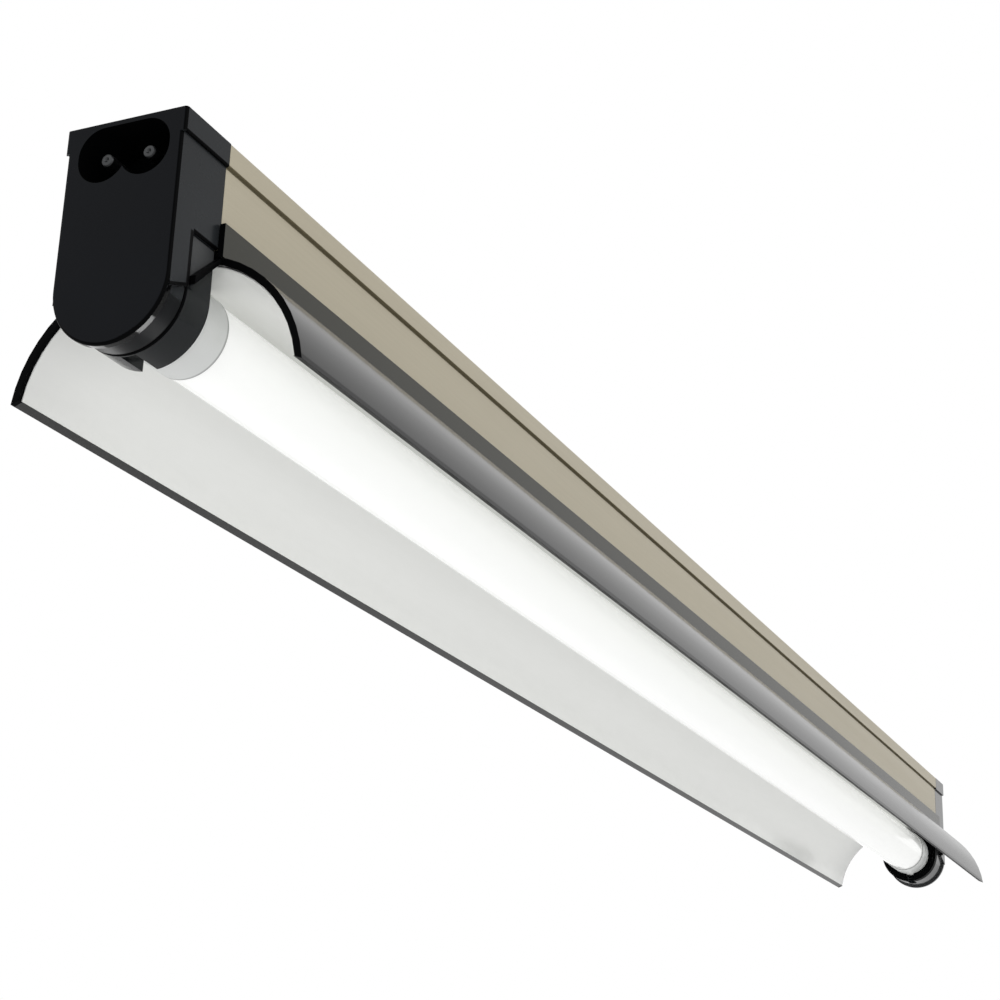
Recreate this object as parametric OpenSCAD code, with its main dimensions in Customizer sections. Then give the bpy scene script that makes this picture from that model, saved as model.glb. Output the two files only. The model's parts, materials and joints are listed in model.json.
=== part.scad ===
// Slim fluorescent grow light: a batten for one T5 tube, with a clip-on curved
// reflector. The light hangs from its flat top face and shines down (-Z).
// X runs along the light, and the mains inlet is at the -X end.
// The origin is the centre of the top face. All sizes are in millimetres.

/* [Lamp] */
// Distance between the faces of the lamp's two bases
lamp_l = 549; // [500:1:900]
// Outer diameter of the glass tube
glass_d = 15.8; // [14:0.1:16.2]
// Wall of the glass tube
glass_wall = 0.7; // [0.5:0.1:1.2]
// Outer diameter of the lamp's metal bases
base_d = 16.4; // [16.2:0.1:18]
// Length of each metal base
base_l = 10; // [9:0.5:18]
// Sheet thickness of the metal bases
base_wall = 0.25; // [0.15:0.05:0.3]
// Thickness of the insulating disc in each base
disc_t = 1.5; // [1:0.1:2.5]
// Diameter of the lamp pins
lamp_pin_d = 2.36; // [2:0.02:2.6]
// Distance between the centres of the two lamp pins
lamp_pin_gap = 4.75; // [4:0.05:5.2]
// Length that the lamp pins stand out of the base face
lamp_pin_l = 7.1; // [6.6:0.1:7.4]
// Length of the glass stem that carries each filament
stem_l = 20; // [10:1:40]
// Diameter of the glass stem
stem_d = 6; // [4:0.5:9]
// Diameter of the wires that carry the filament
filament_wire_d = 0.8; // [0.5:0.1:1.2]
// Length of the wires between the stem and the filament
filament_wire_l = 7; // [4:0.5:12]
// Diameter of the coiled filament
filament_d = 1.2; // [0.8:0.1:2]

/* [Housing] */
// Width of the top rail that mounting clips hold
rail_w = 24.6; // [23:0.2:30]
// Height of the top rail
rail_h = 4.2; // [3.4:0.1:6]
// Width of the housing below the rail
body_w = 23.4; // [23:0.1:23.9]
// Depth of the housing below the top face
body_h = 20.8; // [20:0.1:26]
// Side wall of the housing
wall = 1.2; // [1:0.1:1.5]
// Top wall of the housing
top_wall = 1.4; // [1:0.1:2]
// Height of the shadow groove under the rail
groove_h = 0.5; // [0.3:0.1:0.8]
// Depth of the shadow groove under the rail
groove_d = 0.5; // [0.2:0.1:0.7]
// Thickness of the two lips that carry the bottom cover
lip_t = 0.9; // [0.7:0.1:1.4]
// Width of those two lips
lip_w = 2; // [1.5:0.1:3]
// Reach of the ribs that hold the ballast board
rib_w = 1.2; // [0.8:0.1:1.3]
// Thickness of those ribs
rib_t = 0.8; // [0.6:0.1:1.2]
// Thickness of the bottom cover
cover_t = 0.8; // [0.5:0.1:1.2]
// Thickness of the insulating sheet on the cover
liner_t = 0.4; // [0.2:0.1:0.6]

/* [End caps] */
// Length of each end cap outside the housing
cap_l = 14; // [13:0.5:18]
// Thickness of the front plate of each end cap
plate_t = 1.6; // [1.2:0.1:2]
// Height of the flange at the top of each end cap
flange_h = 4.6; // [4.3:0.1:6.5]
// Rounding of the front edges
edge_r = 0.6; // [0.3:0.1:1]
// Length of the plug that slides into the housing
plug_l = 9; // [8:0.5:14]
// Wall of the plug
plug_wall = 1.3; // [1:0.1:1.6]
// Wall of the shell round the wires in the end cap
shell_wall = 1.3; // [1:0.1:1.8]
// Diameter of the screw that holds each end cap
screw_d = 2.4; // [2:0.1:3]
// Head diameter of that screw
screw_head_d = 4.6; // [4:0.1:5.5]
// Height of the countersunk head
screw_head_h = 1.2; // [0.8:0.1:1.3]
// Length of that screw
screw_l = 5.5; // [4:0.5:7]

/* [Mains inlet and link outlet] */
// Distance between the centres of the two inlet pins
inlet_gap = 8.6; // [8:0.1:9]
// Diameter of the inlet pins
inlet_pin_d = 2.4; // [2:0.1:2.8]
// Depth of the inlet axis below the top face
inlet_drop = 6.5; // [6.2:0.1:6.8]
// Radius of each lobe of the inlet recess
lobe_r = 5; // [4.6:0.1:5.2]
// Rise of the recess's flat top above those lobes
inlet_rise = 0.6; // [0.1:0.1:0.7]
// Depth of the inlet recess
recess_d = 11.5; // [10:0.5:11.5]
// Distance from the face to the tips of the inlet pins
pin_setback = 1.2; // [1:0.1:4]
// Length of the solder tail behind each inlet pin
tail_l = 4; // [2:0.5:5]
// Depth of the shallow recess round the link outlet
outlet_recess = 1; // [0.5:0.1:2]
// Wall of the brass sleeves in the link outlet
sleeve_wall = 0.6; // [0.4:0.1:0.8]

/* [Lampholders] */
// Length of each lampholder along the light
holder_l = 7.5; // [7.5:0.1:8]
// Step from the side of the end cap in to the lampholder
holder_step = 0.8; // [0.5:0.1:1.2]
// Diameter of the rotor that turns with the lamp
rotor_d = 16; // [14:0.2:17]
// Thickness of the rotor
rotor_t = 3.7; // [2.5:0.1:3.8]
// Width of the slot in the rotor
rotor_slot = 2.8; // [2.6:0.1:3.2]
// Width of the slot where the lamp pins enter
entry_slot = 3; // [2.8:0.1:4]
// Diameter of the pocket behind the rotor
pocket_d = 12; // [11:0.5:13]
// Thickness of the brass contact strips
contact_t = 0.4; // [0.3:0.05:0.6]
// Height of the contact strips
contact_h = 6; // [3:0.5:7]
// Diameter of the crimp that holds each lamp wire
crimp_d = 2.2; // [1.9:0.1:2.6]
// Length of that crimp
crimp_l = 3; // [2:0.5:4]

/* [Reflector] */
// Outer radius of the curved wings
wing_r = 26.2; // [24:0.2:34]
// Half width of the flat middle of the reflector
flat_half_w = 3.5; // [2:0.5:6]
// Depth of the reflector's lips below the housing
wing_depth = 22.6; // [18:0.2:24]
// Thickness of the black outer shell
shell_t = 1.3; // [1:0.1:1.8]
// Thickness of the white reflecting film
film_t = 0.25; // [0.15:0.05:0.4]
// Thickness of the shell's web under the housing
web_t = 0.7; // [0.5:0.1:1.2]
// Bare black border along each lip
border_w = 0.7; // [0.5:0.1:3]
// Bare black border across each end of the wings
end_border = 1; // [0.5:0.1:3]
// Height of the clip walls that grip the housing
clip_h = 5.1; // [3:0.1:8]
// Thickness of the clip walls
clip_t = 1.1; // [0.7:0.1:1.4]
// Reach of the clip walls over the end caps
clip_reach = 1; // [0.5:0.1:3]
// Thickness of the hooks at the reflector's corners
hook_t = 1.7; // [1:0.1:2]
// Drop of each hook from its root to its tip
hook_drop = 6.9; // [5:0.1:7.5]
// Width of those hooks
hook_w = 1.3; // [1:0.1:1.6]

/* [Ballast] */
// Thickness of the circuit board
board_t = 1.6; // [1:0.1:2]
// Gap between parts along the board
part_gap = 4; // [3:0.5:8]
// Distance from the near end cap's plug to the board
board_start = 38; // [25:1:60]
// Length of each wire terminal
terminal_l = 10; // [8:0.5:14]
// Width of each wire terminal
terminal_w = 14; // [12:0.5:15]
// Height of each wire terminal
terminal_h = 8; // [6:0.5:10]
// Length of the fuse
fuse_l = 15; // [12:1:20]
// Diameter of the fuse
fuse_d = 5; // [4:0.5:6]
// Length of the mains choke along the board
choke_l = 18; // [14:1:24]
// Height of both cores
core_h = 12; // [9:0.5:13]
// Thickness of the legs of both cores
core_leg = 3.5; // [3:0.5:4]
// Diameter of the rectifier diodes
diode_d = 2.8; // [2:0.2:3.2]
// Length of the rectifier diodes
diode_l = 6; // [4:0.5:8]
// Diameter of the electrolytic capacitor
bulk_d = 12; // [8:0.5:13]
// Length of the electrolytic capacitor
bulk_l = 20; // [15:1:30]
// Length of the aluminium heat sink
sink_l = 30; // [22:1:40]
// Thickness of the aluminium heat sink
sink_t = 1.5; // [1:0.5:2.5]
// Height of the aluminium heat sink
sink_h = 11; // [8:0.5:12.5]
// Width of each power transistor
transistor_w = 8; // [5:0.5:10]
// Thickness of each power transistor
transistor_t = 3; // [2:0.5:4.5]
// Height of each power transistor
transistor_h = 10; // [6:0.5:12]
// Outer diameter of the small ring transformer
ring_d = 10; // [8:0.5:14]
// Diameter of the ring transformer's core
ring_section = 3; // [2:0.5:3]
// Length of the lamp inductor along the board
inductor_l = 20; // [16:1:26]
// Length of each film capacitor
film_cap_l = 11; // [7:0.5:14]
// Width of each film capacitor
film_cap_w = 6; // [4:0.5:9]
// Height of each film capacitor
film_cap_h = 10; // [6:0.5:12]
// Number of film capacitors
film_cap_count = 3; // [2:1:4]
// Diameter of the insulated wires
wire_d = 1.6; // [1:0.1:1.6]

/* [Hidden] */

// Clearances
fit_gap = 0.05;        // round parts pressed or turning in a bore
blade_gap = 0.1;       // contact blades in their slots, rotor behind the lampholder's face
slide_gap = 0.15;      // end cap plug in the housing, board in its ribs
seat_gap = 0.2;        // reflector against the housing
free_gap = 0.3;        // pieces that pass each other without touching
reflector_gap = 0.4;   // reflector to the end caps
lamp_play = 0.5;       // each lamp base to its lampholder
wire_gap = 0.6;        // wires beside each other, tube to the disc in its base
lamp_clear = 1.7;      // housing to the lamp's bases
lap = 0.1;             // overlap of shapes that make one piece
over = 1;              // how far a cut runs past the face it opens

// Along the light. Each end is drawn with x = 0 at its outer face and +x inward.
light_l = lamp_l + 2 * (cap_l + lamp_play);
base_x = cap_l + lamp_play;
disc_x = base_x + base_wall;
glass_x = disc_x + disc_t + wire_gap;
holder_x = cap_l - holder_l;
rotor_x = cap_l - blade_gap - rotor_t;
pocket_x = base_x - lamp_pin_l - blade_gap;
plug_end_x = cap_l + plug_l;
screw_x = cap_l + plug_l / 2;
floor_t = 1.5;
tail_x = recess_d + floor_t;

// Lamp
glass_r = glass_d / 2;
base_r = base_d / 2;
window_r = base_r - 2.5;
foot_t = 1.2;

// Across the light
rail_half = rail_w / 2;
body_half = body_w / 2;
inner_half = body_half - wall;
holder_r = body_half - holder_step;
axis_z = -(body_h + lamp_clear + base_r);
step_z = axis_z - 0.3;
step_front_z = axis_z - 2.6;
inlet_z = -inlet_drop;
plug_half = inner_half - rib_w - slide_gap;
plug_top = -(top_wall + slide_gap);
cover_z = -body_h + lip_t;
liner_z = cover_z + cover_t;
plug_bottom = cover_z + slide_gap;
duct_top = inlet_z - lobe_r - shell_wall;
duct_bottom = -body_h + shell_wall;
duct_half = plug_half - plug_wall;
boss_bottom = -(screw_l + 0.5);

// Pins, sleeves and contacts
pin_r = inlet_pin_d / 2;
collar_r = pin_r + 0.5;
tail_r = pin_r * 0.75;
sleeve_in_r = pin_r + fit_gap;
sleeve_out_r = sleeve_in_r + sleeve_wall;
crimp_y = lamp_pin_gap / 2 + lamp_pin_d / 2 + free_gap + contact_t / 2;
crimp_x = holder_x - crimp_d / 2 - seat_gap;
crimp_top = axis_z + crimp_l / 2;

// Reflector
film_r = wing_r - shell_t - fit_gap;
trough_r = film_r - film_t;
web_top = -(body_h + seat_gap);
flat_z = web_top - web_t - fit_gap - film_t;
wing_cz = flat_z - trough_r;
lip_z = -(body_h + wing_depth);
clip_in = body_half + seat_gap;
hook_in = holder_r + seat_gap;
hook_root = 2;
hook_root_t = 1;

// Ballast board and the parts on it, placed one after the other
edge_gap = 3;
board_z = liner_z + liner_t + free_gap + rib_t;
board_top = board_z + board_t;
board_half = inner_half - free_gap;
upper_rib_z = board_top + free_gap;
diode_pitch = diode_d + 1.2;
film_pitch = film_cap_l + 1.5;
terminal_x = -light_l / 2 + plug_end_x + board_start;
fuse_x = terminal_x + terminal_l + part_gap;
choke_x = fuse_x + fuse_l + part_gap;
diode_x = choke_x + choke_l + part_gap;
bulk_x = diode_x + 2 * diode_pitch + part_gap;
sink_x = bulk_x + bulk_l + part_gap;
ring_x = sink_x + sink_l + part_gap;
inductor_x = ring_x + ring_d + part_gap;
film_x = inductor_x + inductor_l + part_gap;
output_x = film_x + film_cap_count * film_pitch + part_gap;
output_end_x = output_x + terminal_l;
board_x0 = terminal_x - edge_gap;
board_x1 = output_end_x + edge_gap;

// Wires run in two lanes beside the parts on the board
wire_r = wire_d / 2;
lane_y = inner_half - wire_r - free_gap;
link_lane_z = upper_rib_z + rib_t + wire_r + wire_gap;
lamp_lane_z = link_lane_z + wire_d + wire_gap;
duct_z = (duct_top + duct_bottom) / 2;
wire_z = board_top + terminal_h / 2;
wire_in = terminal_w / 2 - 2;
wire_out = terminal_w / 2 - 5;

// The cores fill the width between the lanes: flange above and below each window,
// middle leg, and bulge of the winding out of the core's sides
core_flange = 2;
core_mid = 3;
winding_bulge = 0.8;
core_w = 2 * (lane_y - wire_r - free_gap - winding_bulge);

housing_color = [0.72, 0.69, 0.62];
black = [0.13, 0.13, 0.14];
brass = [0.80, 0.66, 0.36];
steel = [0.72, 0.73, 0.75];
ferrite = [0.25, 0.25, 0.27];
copper = [0.72, 0.42, 0.22];

// Shared shapes

// Draws its children at the near (-X) end, with x = 0 at the outer face
module near_end() {
    translate([-light_l / 2, 0, 0]) children();
}

// The same at the far (+X) end
module far_end() {
    mirror([1, 0, 0]) near_end() children();
}

// Extrudes a flat outline, drawn as y across and z up, from x0 to x1
module along_x(x0, x1) {
    translate([x0, 0, 0]) rotate([90, 0, 90]) linear_extrude(x1 - x0) children();
}

// Extrudes a flat outline, drawn as x along and z up, from y0 to y1
module along_y(y0, y1) {
    translate([0, y1, 0]) rotate([90, 0, 0]) linear_extrude(y1 - y0) children();
}

// A cylinder along X from x0 to x1
module rod_x(x0, x1, r, y = 0, z = 0, fn = 48) {
    translate([x0, y, z]) rotate([0, 90, 0]) cylinder(h = x1 - x0, r = r, $fn = fn);
}

// A box given by its corners
module block(low, high) {
    translate(low) cube(high - low);
}

// Both members of a pair that stand mirrored about the middle plane
module both_sides() {
    children();
    mirror([0, 1, 0]) children();
}

// Outline with straight sides from the height top, and a half circle below
module tongue(r, top) {
    translate([-r, axis_z]) square([2 * r, top - axis_z]);
    intersection() {
        translate([0, axis_z]) circle(r, $fn = 96);
        translate([-r, axis_z - r]) square([2 * r, r + (top - axis_z) / 2]);
    }
}

// Profile of a plate from x = 0 to t and from y = 0 to w, its front edge rounded
module rounded_edge(w, t) {
    square([t, w - edge_r]);
    translate([edge_r, 0]) square([t - edge_r, w]);
    translate([edge_r, w - edge_r]) circle(edge_r, $fn = 32);
}

// Outline of the two-lobed inlet: a flat top, and a notch between the lobes below
module inlet_outline() {
    for (y = [-inlet_gap / 2, inlet_gap / 2], z = [inlet_z, inlet_z + inlet_rise])
        translate([y, z]) circle(lobe_r, $fn = 64);
    translate([-inlet_gap / 2, inlet_z]) square([inlet_gap, lobe_r + inlet_rise]);
    translate([-inlet_gap / 2 - lobe_r, inlet_z])
        square([inlet_gap + 2 * lobe_r, inlet_rise]);
}

function unit(v) = v / norm(v);

// Directions across a path, one for each of its points, that never twist about it
function across(dirs, side, i = 0) = i == len(dirs) ? []
    : let (s = unit(side - dirs[i] * (side * dirs[i]))) concat([s], across(dirs, s, i + 1));

// A wire along points, as a tube with flat ends square to its first and last runs
module wire(points, sides = 8) {
    n = len(points);
    dirs = [for (i = [0:n - 1]) unit(
        (i < n - 1 ? unit(points[i + 1] - points[i]) : [0, 0, 0])
        + (i > 0 ? unit(points[i] - points[i - 1]) : [0, 0, 0]))];
    side = across(dirs, [0, 1, 0]);
    ring = [for (i = [0:n - 1], k = [0:sides - 1])
        points[i] + wire_r * (cos(360 * k / sides) * side[i]
            + sin(360 * k / sides) * cross(dirs[i], side[i]))];
    skin = [for (i = [0:n - 2], k = [0:sides - 1], half = [0, 1])
        let (a = i * sides + k, b = i * sides + (k + 1) % sides)
        half == 0 ? [a, b, b + sides] : [a, b + sides, a + sides]];
    polyhedron(ring, concat(skin,
        [[for (k = [sides - 1:-1:0]) k]],
        [[for (k = [0:sides - 1]) (n - 1) * sides + k]]), convexity = 4);
}

// Points of a polyline with each inner corner cut by an arc of radius r
function rounded_path(p, r) = concat([p[0]],
    [for (i = [1:len(p) - 2])
        let (a = (p[i - 1] - p[i]) / norm(p[i - 1] - p[i]),
             b = (p[i + 1] - p[i]) / norm(p[i + 1] - p[i]),
             p0 = p[i] + a * r, p2 = p[i] + b * r)
        for (t = [0, 0.25, 0.5, 0.75, 1])
            p0 * (1 - t) * (1 - t) + p[i] * 2 * t * (1 - t) + p2 * t * t],
    [p[len(p) - 1]]);

// Housing

module housing_section() {
    difference() {
        union() {
            translate([-rail_half, -rail_h]) square([rail_w, rail_h]);
            translate([-body_half, -body_h]) square([body_w, body_h - rail_h - groove_h]);
            translate([-(body_half - groove_d), -body_h])
                square([body_w - 2 * groove_d, body_h - lap]);
        }
        translate([-inner_half, cover_z]) square([2 * inner_half, -top_wall - cover_z]);
        translate([-(inner_half - lip_w), -body_h - over])
            square([2 * (inner_half - lip_w), lip_t + 2 * over]);
    }
    for (z = [board_z - rib_t, upper_rib_z]) {
        translate([-inner_half - lap, z]) square([rib_w + lap, rib_t]);
        translate([inner_half - rib_w, z]) square([rib_w + lap, rib_t]);
    }
}

module housing_channel() {
    color(housing_color) difference() {
        along_x(-light_l / 2 + cap_l, light_l / 2 - cap_l) housing_section();
        near_end() cap_screw(fit_gap);
        far_end() cap_screw(fit_gap);
    }
}

module bottom_cover() {
    color("gainsboro") block(
        [-light_l / 2 + plug_end_x + free_gap, -inner_half + slide_gap, cover_z],
        [light_l / 2 - plug_end_x - free_gap, inner_half - slide_gap, cover_z + cover_t]);
}

module insulating_sheet() {
    color("ivory") block(
        [board_x0 - 2 * edge_gap, -inner_half + rib_w, liner_z],
        [board_x1 + 2 * edge_gap, inner_half - rib_w, liner_z + liner_t]);
}

// Countersunk screw of an end cap, grown by gap where it cuts its hole
module cap_screw(gap = 0) {
    translate([screw_x, 0, 0]) {
        translate([0, 0, -screw_l]) cylinder(h = screw_l, d = screw_d + 2 * gap, $fn = 32);
        translate([0, 0, -screw_head_h])
            cylinder(h = screw_head_h + gap, d1 = screw_d + 2 * gap,
                d2 = screw_head_d + 2 * gap, $fn = 48);
    }
}

// Screw with a cross recess in its head
module end_cap_screw() {
    recess = screw_head_h * 0.6;
    difference() {
        cap_screw();
        for (size = [[screw_d * 0.9, 0.5], [0.5, screw_d * 0.9]])
            translate([screw_x - size[0] / 2, -size[1] / 2, -recess])
                cube([size[0], size[1], recess + over]);
    }
}

module end_cap_screws() {
    color(steel) {
        near_end() end_cap_screw();
        far_end() end_cap_screw();
    }
}

// End caps

// Front plate with a rounded front edge: straight sides and a half circle below
module cap_plate() {
    both_sides() translate([0, 0, axis_z])
        linear_extrude(-axis_z - flange_h + lap) rounded_edge(body_half, plate_t);
    both_sides() translate([0, 0, -flange_h])
        linear_extrude(flange_h) rounded_edge(rail_half, plate_t);
    translate([0, 0, axis_z]) rotate([0, 90, 0]) rotate_extrude($fn = 96)
        rotate(90) mirror([0, 1]) rounded_edge(body_half, plate_t);
}

module cap_body() {
    cap_plate();
    block([edge_r, -rail_half, -flange_h], [cap_l, rail_half, 0]);
    block([edge_r, -body_half, -body_h], [cap_l, body_half, -flange_h + lap]);
    along_y(-body_half, body_half) polygon([[edge_r, step_front_z], [holder_x, step_z],
        [holder_x, -body_h + lap], [edge_r, -body_h + lap]]);
    along_x(edge_r, holder_x) tongue(holder_r, -body_h);
    block([cap_l - lap, -plug_half, plug_bottom], [plug_end_x, plug_half, plug_top]);
}

// Room for the wires, from the lampholder up and back into the housing
module cap_cavity() {
    block([tail_x, -duct_half, plug_bottom + plug_wall],
        [plug_end_x + over, duct_half, plug_top - plug_wall]);
    block([plate_t, -duct_half, duct_bottom], [tail_x + lap, duct_half, duct_top]);
    along_x(plate_t, holder_x + over) tongue(holder_r - shell_wall, duct_bottom + lap);
}

// Boss in the plug that the screw bites into
module cap_boss() {
    translate([screw_x, 0, boss_bottom])
        cylinder(h = plug_top - boss_bottom, r = screw_d / 2 + shell_wall, $fn = 48);
}

module end_cap() {
    difference() {
        union() {
            difference() {
                cap_body();
                cap_cavity();
            }
            cap_boss();
        }
        cap_screw(fit_gap);
    }
}

module inlet_end_cap() {
    color(black) near_end() difference() {
        end_cap();
        along_x(-over, recess_d) inlet_outline();
        for (y = [-inlet_gap / 2, inlet_gap / 2])
            rod_x(recess_d - lap, tail_x + lap, collar_r + fit_gap, y, inlet_z);
    }
}

module link_end_cap() {
    color(black) far_end() difference() {
        end_cap();
        along_x(-over, outlet_recess) inlet_outline();
        for (y = [-inlet_gap / 2, inlet_gap / 2])
            rod_x(outlet_recess - lap, tail_x + lap, sleeve_out_r + fit_gap, y, inlet_z);
    }
}

// Each inlet pin has a domed tip, a collar held in the cap, and a solder tail
module inlet_pin() {
    rotate([0, 90, 0]) rotate_extrude($fn = 48) union() {
        translate([0, pin_setback + pin_r]) intersection() {
            circle(pin_r, $fn = 48);
            translate([0, -pin_r]) square(pin_r);
        }
        translate([0, pin_setback + pin_r]) square([pin_r, recess_d - pin_setback - pin_r]);
        translate([0, recess_d]) square([collar_r, floor_t]);
        translate([0, tail_x]) square([tail_r, tail_l]);
    }
}

module inlet_pins() {
    color(steel) near_end()
        for (y = [-inlet_gap / 2, inlet_gap / 2]) translate([0, y, inlet_z]) inlet_pin();
}

// Brass sleeves of the link outlet, closed at the back by their solder tails
module link_sleeves() {
    color(brass) far_end() for (y = [-inlet_gap / 2, inlet_gap / 2]) difference() {
        union() {
            rod_x(outlet_recess, tail_x, sleeve_out_r, y, inlet_z);
            rod_x(tail_x - lap, tail_x + tail_l, tail_r, y, inlet_z);
        }
        rod_x(outlet_recess - over, recess_d, sleeve_in_r, y, inlet_z);
    }
}

// Lampholders

module lampholder() {
    slot_y = contact_t / 2 + blade_gap;
    difference() {
        along_x(holder_x, cap_l) tongue(holder_r, -body_h);
        rod_x(rotor_x - blade_gap, cap_l + over, rotor_d / 2 + fit_gap, 0, axis_z, 96);
        rod_x(pocket_x, rotor_x, pocket_d / 2, 0, axis_z, 96);
        block([pocket_x, -entry_slot / 2, axis_z - holder_r - over],
            [cap_l + over, entry_slot / 2, axis_z]);
        for (y = [-crimp_y, crimp_y])
            block([holder_x - over, y - slot_y, axis_z - crimp_l / 2 - blade_gap],
                [pocket_x + lap, y + slot_y, crimp_top + blade_gap]);
    }
}

// A spring strip beside each lamp pin, and the crimp that holds its wire
module contact_pair() {
    for (y = [-crimp_y, crimp_y]) {
        block([pocket_x + blade_gap, y - contact_t / 2, axis_z - contact_h / 2],
            [rotor_x - free_gap, y + contact_t / 2, axis_z + contact_h / 2]);
        block([crimp_x, y - contact_t / 2, axis_z - crimp_l / 2],
            [pocket_x + free_gap, y + contact_t / 2, crimp_top]);
        translate([crimp_x, y, axis_z - crimp_l / 2])
            cylinder(h = crimp_l, d = crimp_d, $fn = 32);
    }
}

// The rotor's slot runs from its rim to past the second lamp pin. It faces -Y
// while the lamp is locked, and down when the lamp has been turned to come out.
module rotor() {
    reach = lamp_pin_gap / 2;
    difference() {
        rod_x(rotor_x, rotor_x + rotor_t, rotor_d / 2, 0, axis_z, 96);
        block([rotor_x - over, -rotor_d, axis_z - rotor_slot / 2],
            [cap_l + over, reach, axis_z + rotor_slot / 2]);
        rod_x(rotor_x - over, cap_l + over, rotor_slot / 2, reach, axis_z);
    }
}

module near_lampholder() { color(black) near_end() lampholder(); }
module far_lampholder() { color(black) far_end() lampholder(); }
module near_contacts() { color(brass) near_end() contact_pair(); }
module far_contacts() { color(brass) far_end() contact_pair(); }
module near_rotor() { color("whitesmoke") near_end() rotor(); }
module far_rotor() { color("whitesmoke") far_end() rotor(); }

// Lamp

module lamp_tube() {
    half = light_l / 2 - glass_x;
    color("white") difference() {
        rod_x(-half, half, glass_r, 0, axis_z, 96);
        rod_x(-half - over, half + over, glass_r - glass_wall, 0, axis_z, 96);
    }
}

// A cup over the end of the tube, with a window for the insulating disc
module lamp_base() {
    difference() {
        rod_x(base_x, base_x + base_l, base_r, 0, axis_z, 96);
        rod_x(disc_x, base_x + base_l + over, base_r - base_wall, 0, axis_z, 96);
        rod_x(base_x - over, disc_x + lap, window_r, 0, axis_z, 96);
    }
}

module base_disc() {
    difference() {
        union() {
            rod_x(disc_x, disc_x + disc_t, base_r - base_wall - fit_gap, 0, axis_z, 96);
            rod_x(base_x, disc_x + lap, window_r - fit_gap, 0, axis_z, 96);
        }
        lamp_pin_pair(fit_gap);
    }
}

module lamp_pin_pair(gap = 0) {
    for (y = [-lamp_pin_gap / 2, lamp_pin_gap / 2])
        rod_x(base_x - lamp_pin_l, glass_x - blade_gap, lamp_pin_d / 2 + gap, y, axis_z);
}

// Flared glass foot that closes the tube, and the stem that stands on it
module lamp_stem() {
    rod_x(glass_x, glass_x + foot_t, glass_r - glass_wall - fit_gap, 0, axis_z, 96);
    rod_x(glass_x + foot_t - lap, glass_x + stem_l, stem_d / 2, 0, axis_z);
}

module filament() {
    reach = stem_d / 2 - filament_wire_d;
    end_x = glass_x + stem_l + filament_wire_l;
    for (y = [-reach, reach])
        rod_x(glass_x + stem_l, end_x, filament_wire_d / 2, y, axis_z, 24);
    translate([end_x, 0, axis_z]) rotate([90, 0, 0])
        cylinder(h = 2 * (reach + filament_d), d = filament_d, center = true, $fn = 32);
}

module near_lamp_base() { color("silver") near_end() lamp_base(); }
module far_lamp_base() { color("silver") far_end() lamp_base(); }
module near_base_disc() { color("ivory") near_end() base_disc(); }
module far_base_disc() { color("ivory") far_end() base_disc(); }
module near_lamp_pins() { color(brass) near_end() lamp_pin_pair(); }
module far_lamp_pins() { color(brass) far_end() lamp_pin_pair(); }
module near_lamp_stem() { color("lightcyan") near_end() lamp_stem(); }
module far_lamp_stem() { color("lightcyan") far_end() lamp_stem(); }
module near_filament() { color("gray") near_end() filament(); }
module far_filament() { color("gray") far_end() filament(); }

// Reflector

module wing_circle(r) {
    translate([flat_half_w, wing_cz]) circle(r, $fn = 180);
}

// Everything inside the trough: below the flat middle and inside the wing's arc
module trough_area(r) {
    wing_circle(r);
    translate([-lap, wing_cz - r]) square([flat_half_w + lap, 2 * r]);
}

module half_plane_y(from_z, to_z) {
    translate([0, from_z]) square([4 * wing_r, to_z - from_z]);
}

// Half of the shell: web, clip wall, wing, and the thicker border at the lip
module shell_half_section() {
    difference() {
        intersection() {
            union() {
                wing_circle(wing_r);
                translate([-lap, web_top - 2 * shell_t])
                    square([clip_in + clip_t + lap, 2 * shell_t]);
            }
            half_plane_y(lip_z, web_top);
        }
        trough_area(film_r);
    }
    intersection() {
        difference() {
            wing_circle(film_r + lap);
            wing_circle(trough_r);
        }
        half_plane_y(lip_z, lip_z + border_w);
    }
    translate([clip_in, web_top - shell_t]) square([clip_t, clip_h + shell_t]);
}

module film_half_section() {
    intersection() {
        difference() {
            trough_area(film_r - fit_gap);
            trough_area(trough_r);
        }
        half_plane_y(lip_z + border_w + fit_gap, web_top);
    }
}

// Slanting hook at each corner, which lies beside the lampholder
module reflector_hook() {
    top = web_top - web_t - seat_gap;
    root_x = cap_l + reflector_gap;
    tip_x = holder_x + free_gap;
    along_y(hook_in, hook_in + hook_w) polygon([
        [root_x + hook_root, top], [root_x, top],
        [tip_x, top - hook_drop], [tip_x, top - hook_drop - hook_t],
        [root_x, top - hook_root_t], [root_x + hook_root, top - hook_root_t]]);
}

// End of each clip wall, which reaches over the side of the end cap
module clip_end() {
    block([cap_l + reflector_gap - clip_reach, clip_in, web_top - shell_t],
        [cap_l + reflector_gap + lap, clip_in + clip_t, web_top + clip_h]);
}

module reflector_shell() {
    half = light_l / 2 - cap_l - reflector_gap;
    color(black) union() {
        along_x(-half, half) union() {
            shell_half_section();
            mirror([1, 0]) shell_half_section();
        }
        near_end() both_sides() { reflector_hook(); clip_end(); }
        far_end() both_sides() { reflector_hook(); clip_end(); }
    }
}

module reflector_film() {
    half = light_l / 2 - cap_l - reflector_gap - end_border;
    color("white") along_x(-half, half) union() {
        film_half_section();
        mirror([1, 0]) film_half_section();
    }
}

// Ballast

module ballast_board() {
    color("peru") block([board_x0, -board_half, board_z], [board_x1, board_half, board_top]);
}

// Wire terminal with a release slot above each of its wires
module terminal(x) {
    release_w = 3;
    depth = 0.6;
    top = board_top + terminal_h;
    difference() {
        block([x, -terminal_w / 2, board_top], [x + terminal_l, terminal_w / 2, top]);
        for (y = [-terminal_w / 4, terminal_w / 4])
            block([x + edge_gap, y - release_w / 2, top - depth],
                [x + terminal_l - edge_gap, y + release_w / 2, top + over]);
    }
}

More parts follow.
